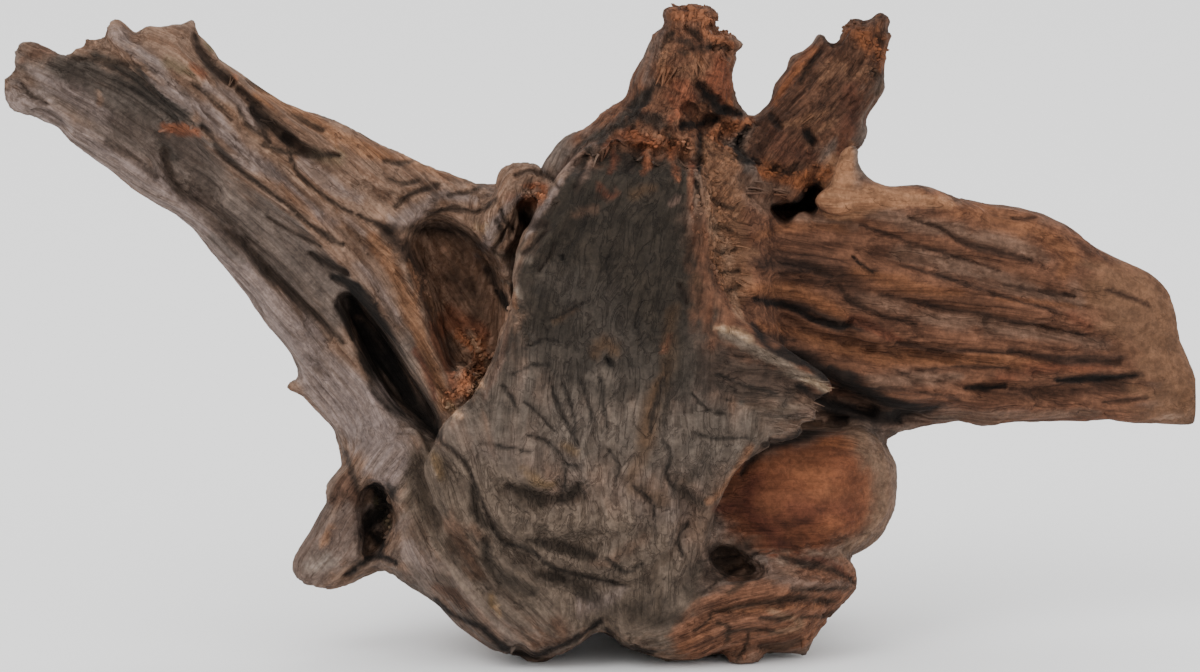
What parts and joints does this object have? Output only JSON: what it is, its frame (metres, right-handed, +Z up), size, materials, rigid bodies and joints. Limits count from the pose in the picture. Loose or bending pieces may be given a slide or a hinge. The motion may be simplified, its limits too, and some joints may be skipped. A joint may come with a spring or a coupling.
{
  "type": "piece of driftwood",
  "caption": "Weathered driftwood stump with a hollowed arm, a split plank, a broken peak and branch, and low root ends it rests on.",
  "frame": {"origin": "under the middle of the piece, on the plane its low root ends rest on", "axes": "+X from the hollowed arm towards the plank, +Y from the weathered front towards the back, +Z up"},
  "size_m": [0.4766, 0.161, 0.2593],
  "materials": {
    "weathered_wood": "weathered, matt"
  },
  "bodies": {
    "root": {"driftwood": "weathered_wood"}
  },
  "joints": []
}
